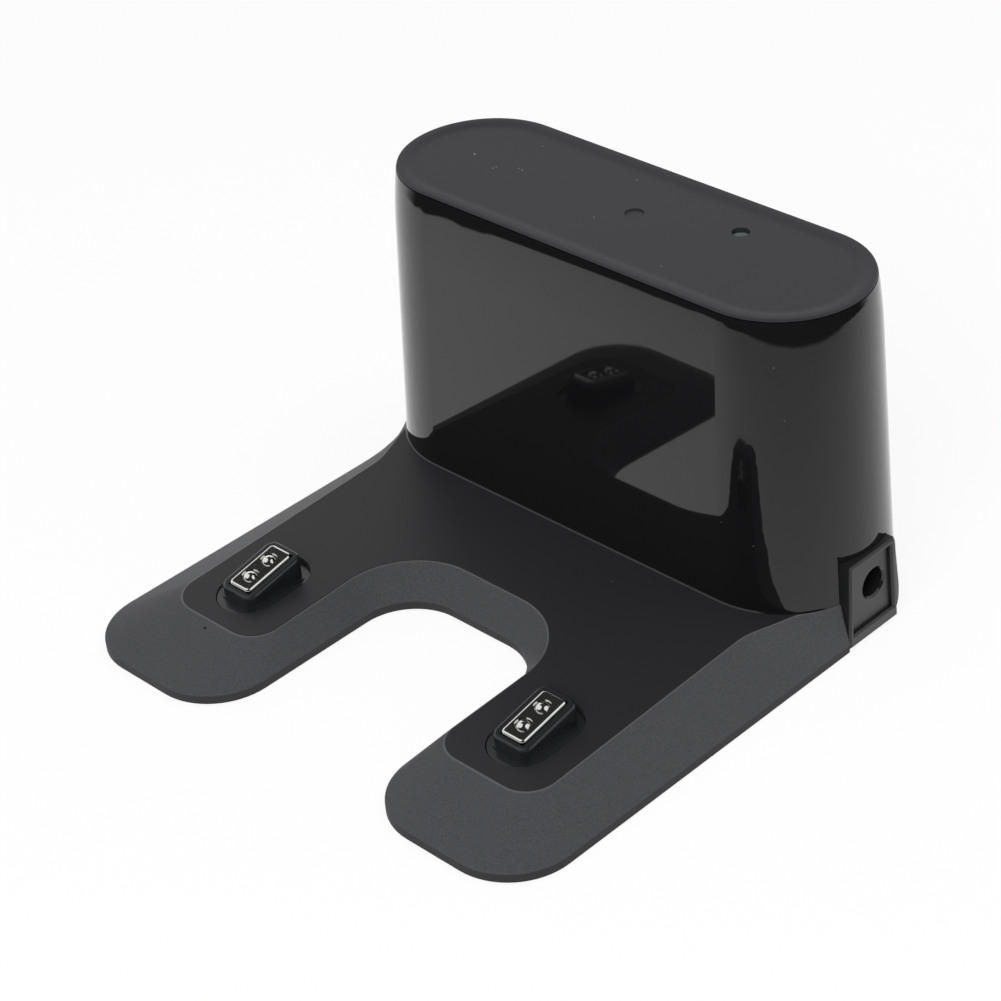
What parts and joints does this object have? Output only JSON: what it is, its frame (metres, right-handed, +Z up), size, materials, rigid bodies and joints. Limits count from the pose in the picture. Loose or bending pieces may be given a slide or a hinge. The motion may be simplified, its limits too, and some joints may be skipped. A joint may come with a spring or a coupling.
{
  "type": "robot vacuum charging dock",
  "caption": "Charging dock with a horseshoe ramp, sprung contact heads on its prongs, an oval tower with a dished lid, and a power inlet at its side.",
  "frame": {"origin": "centre of the footprint, on the surface that the rubber feet stand on", "axes": "+X to the right seen from the front, +Y from the prongs back to the tower, +Z up"},
  "size_m": [0.15, 0.152, 0.0908],
  "materials": {
    "shell": "satin black moulding, smooth on the plateau and finely grained on the skirt",
    "tower": "high-gloss black, passes infrared",
    "lid": "fine matte grain",
    "contact_carrier": "matte black",
    "contact_metal": "bright nickel plate",
    "inlet": "matte black",
    "underside": "matte black",
    "feet": "soft rubber",
    "steel": "zinc plated",
    "spring_steel": "bright wire",
    "brass": "plain",
    "lead_red": "insulated lead",
    "lead_black": "insulated lead",
    "jack": "moulded",
    "board": "green circuit board",
    "bracket": "natural moulding",
    "lens": "clear, faintly green",
    "led": "clear",
    "emitter": "dark tinted",
    "shade": "matte black"
  },
  "bodies": {
    "dock": {"base_top_shell": "shell", "base_bottom_plate": "underside", "tower_shell": "tower", "top_cap": "lid", "status_lens": "lens", "status_led": "led", "indicator_board": "board", "inlet_bezel": "inlet", "dc_jack": "jack", "dc_pin": "brass", "inlet_leads": "lead_black", "rubber_feet": "feet", "base_screws": "steel", "tower_screws": "steel", "board_screws": "steel", "main_board": "board", "board_bracket": "bracket", "infrared_emitters": "emitter", "emitter_shade": "shade", "left_contact_spring": "spring_steel", "left_contact_terminal": "brass", "left_contact_lead": "lead_black", "right_contact_spring": "spring_steel", "right_contact_terminal": "brass", "right_contact_lead": "lead_red"},
    "left_contact": {"left_contact_head": "contact_carrier", "left_contact_plate": "contact_metal"},
    "right_contact": {"right_contact_head": "contact_carrier", "right_contact_plate": "contact_metal"}
  },
  "joints": [
    {"name": "left_contact_slide", "type": "slide", "parent": "dock", "child": "left_contact", "axis": [0, 0, 1], "range_m": [-0.003, 0], "stiffness_N_per_m": 400, "springref_m": 0.0025, "deforming": ["left_contact_spring"]},
    {"name": "right_contact_slide", "type": "slide", "parent": "dock", "child": "right_contact", "axis": [0, 0, 1], "range_m": [-0.003, 0], "stiffness_N_per_m": 400, "springref_m": 0.0025, "deforming": ["right_contact_spring"]}
  ]
}
